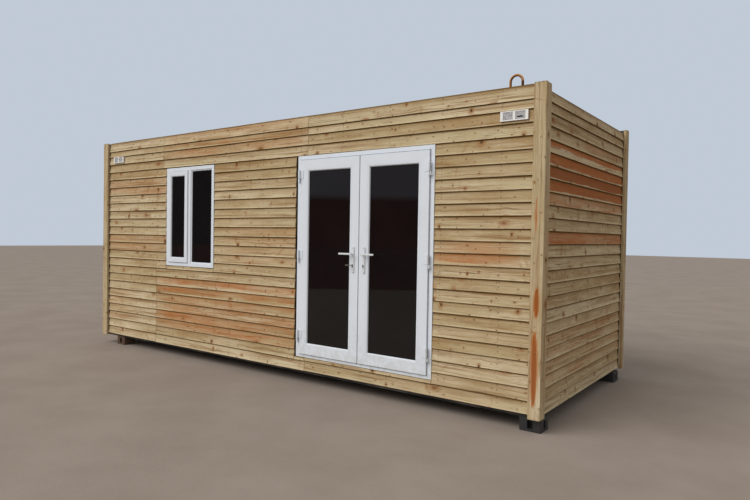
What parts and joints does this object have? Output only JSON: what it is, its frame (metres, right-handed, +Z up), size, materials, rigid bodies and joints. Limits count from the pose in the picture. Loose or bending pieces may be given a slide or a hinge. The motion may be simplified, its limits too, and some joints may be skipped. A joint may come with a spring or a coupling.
{
  "type": "portable site cabin",
  "caption": "Timber-clad portable site cabin with outward-opening glazed double doors, a side-hung window, louvred vents, lifting eyes and casting feet.",
  "frame": {"origin": "on the ground, midway along the cabin and between its front and back corner boards", "axes": "+X along the front to the right as seen from outside, -Y out through the doors, +Z up"},
  "size_m": [6.096, 2.505, 2.7908],
  "materials": {
    "cladding": "sawn, pressure-treated softwood",
    "corner_board": "planed, pressure-treated softwood",
    "wall_lining": "painted plywood",
    "floor": "sealed plywood",
    "roof_deck": "painted plywood",
    "roof_sheet": "welded roofing sheet, matt",
    "chassis": "dull black paint",
    "foot_grey": "dull dark grey paint",
    "foot_rusty": "rusted casting",
    "lifting_eye": "rusted round bar",
    "white_plastic": "extruded white plastic, satin",
    "handle": "white coated furniture, gloss",
    "glass": "double glazing with a dark room behind"
  },
  "bodies": {
    "cabin": {"back_cladding": "cladding", "back_wall": "wall_lining", "corner_boards_back_left": "corner_board", "corner_boards_back_right": "corner_board", "corner_boards_front_left": "corner_board", "corner_boards_front_right": "corner_board", "corner_posts": "chassis", "cross_members": "chassis", "door_frame": "white_plastic", "door_stop": "white_plastic", "end_rails": "chassis", "floor_deck": "floor", "foot_back_left": "foot_rusty", "foot_back_right": "foot_grey", "foot_front_left": "foot_rusty", "foot_front_right": "foot_grey", "front_cladding": "cladding", "front_vents": "white_plastic", "front_wall_between_openings": "wall_lining", "front_wall_left_end": "wall_lining", "front_wall_over_door": "wall_lining", "front_wall_over_window": "wall_lining", "front_wall_right_end": "wall_lining", "front_wall_under_window": "wall_lining", "left_end_cladding": "cladding", "left_end_wall": "wall_lining", "left_frame_hinges": "white_plastic", "lifting_eyes": "lifting_eye", "right_end_cladding": "cladding", "right_end_wall": "wall_lining", "right_frame_hinges": "white_plastic", "roof_deck": "roof_deck", "roof_sheet": "roof_sheet", "side_rails": "chassis", "window_fixed_glass": "glass", "window_frame": "white_plastic", "window_sash": "white_plastic", "window_sash_glass": "glass", "window_stop": "white_plastic"},
    "left_leaf": {"left_door": "white_plastic", "left_door_glass": "glass", "left_door_hinges": "white_plastic", "left_handle_plates": "handle"},
    "left_handle": {"left_lever": "handle"},
    "right_leaf": {"right_door": "white_plastic", "right_door_glass": "glass", "right_door_hinges": "white_plastic", "right_handle_plates": "handle"},
    "right_handle": {"right_lever": "handle"}
  },
  "joints": [
    {"name": "left_door_hinge", "type": "hinge", "parent": "cabin", "child": "left_leaf", "pos_m": [0.544, -1.231, 1.266], "axis": [0, 0, -1], "range_deg": [0, 110]},
    {"name": "right_door_hinge", "type": "hinge", "parent": "cabin", "child": "right_leaf", "pos_m": [2.038, -1.231, 1.266], "axis": [0, 0, 1], "range_deg": [0, 110]},
    {"name": "left_lever_turn", "type": "hinge", "parent": "left_leaf", "child": "left_handle", "pos_m": [1.228, -1.22, 1.313], "axis": [0, -1, 0], "range_deg": [-45, 45], "stiffness_Nm_per_rad": 3},
    {"name": "right_lever_turn", "type": "hinge", "parent": "right_leaf", "child": "right_handle", "pos_m": [1.354, -1.22, 1.313], "axis": [0, 1, 0], "range_deg": [-45, 45], "stiffness_Nm_per_rad": 3}
  ]
}
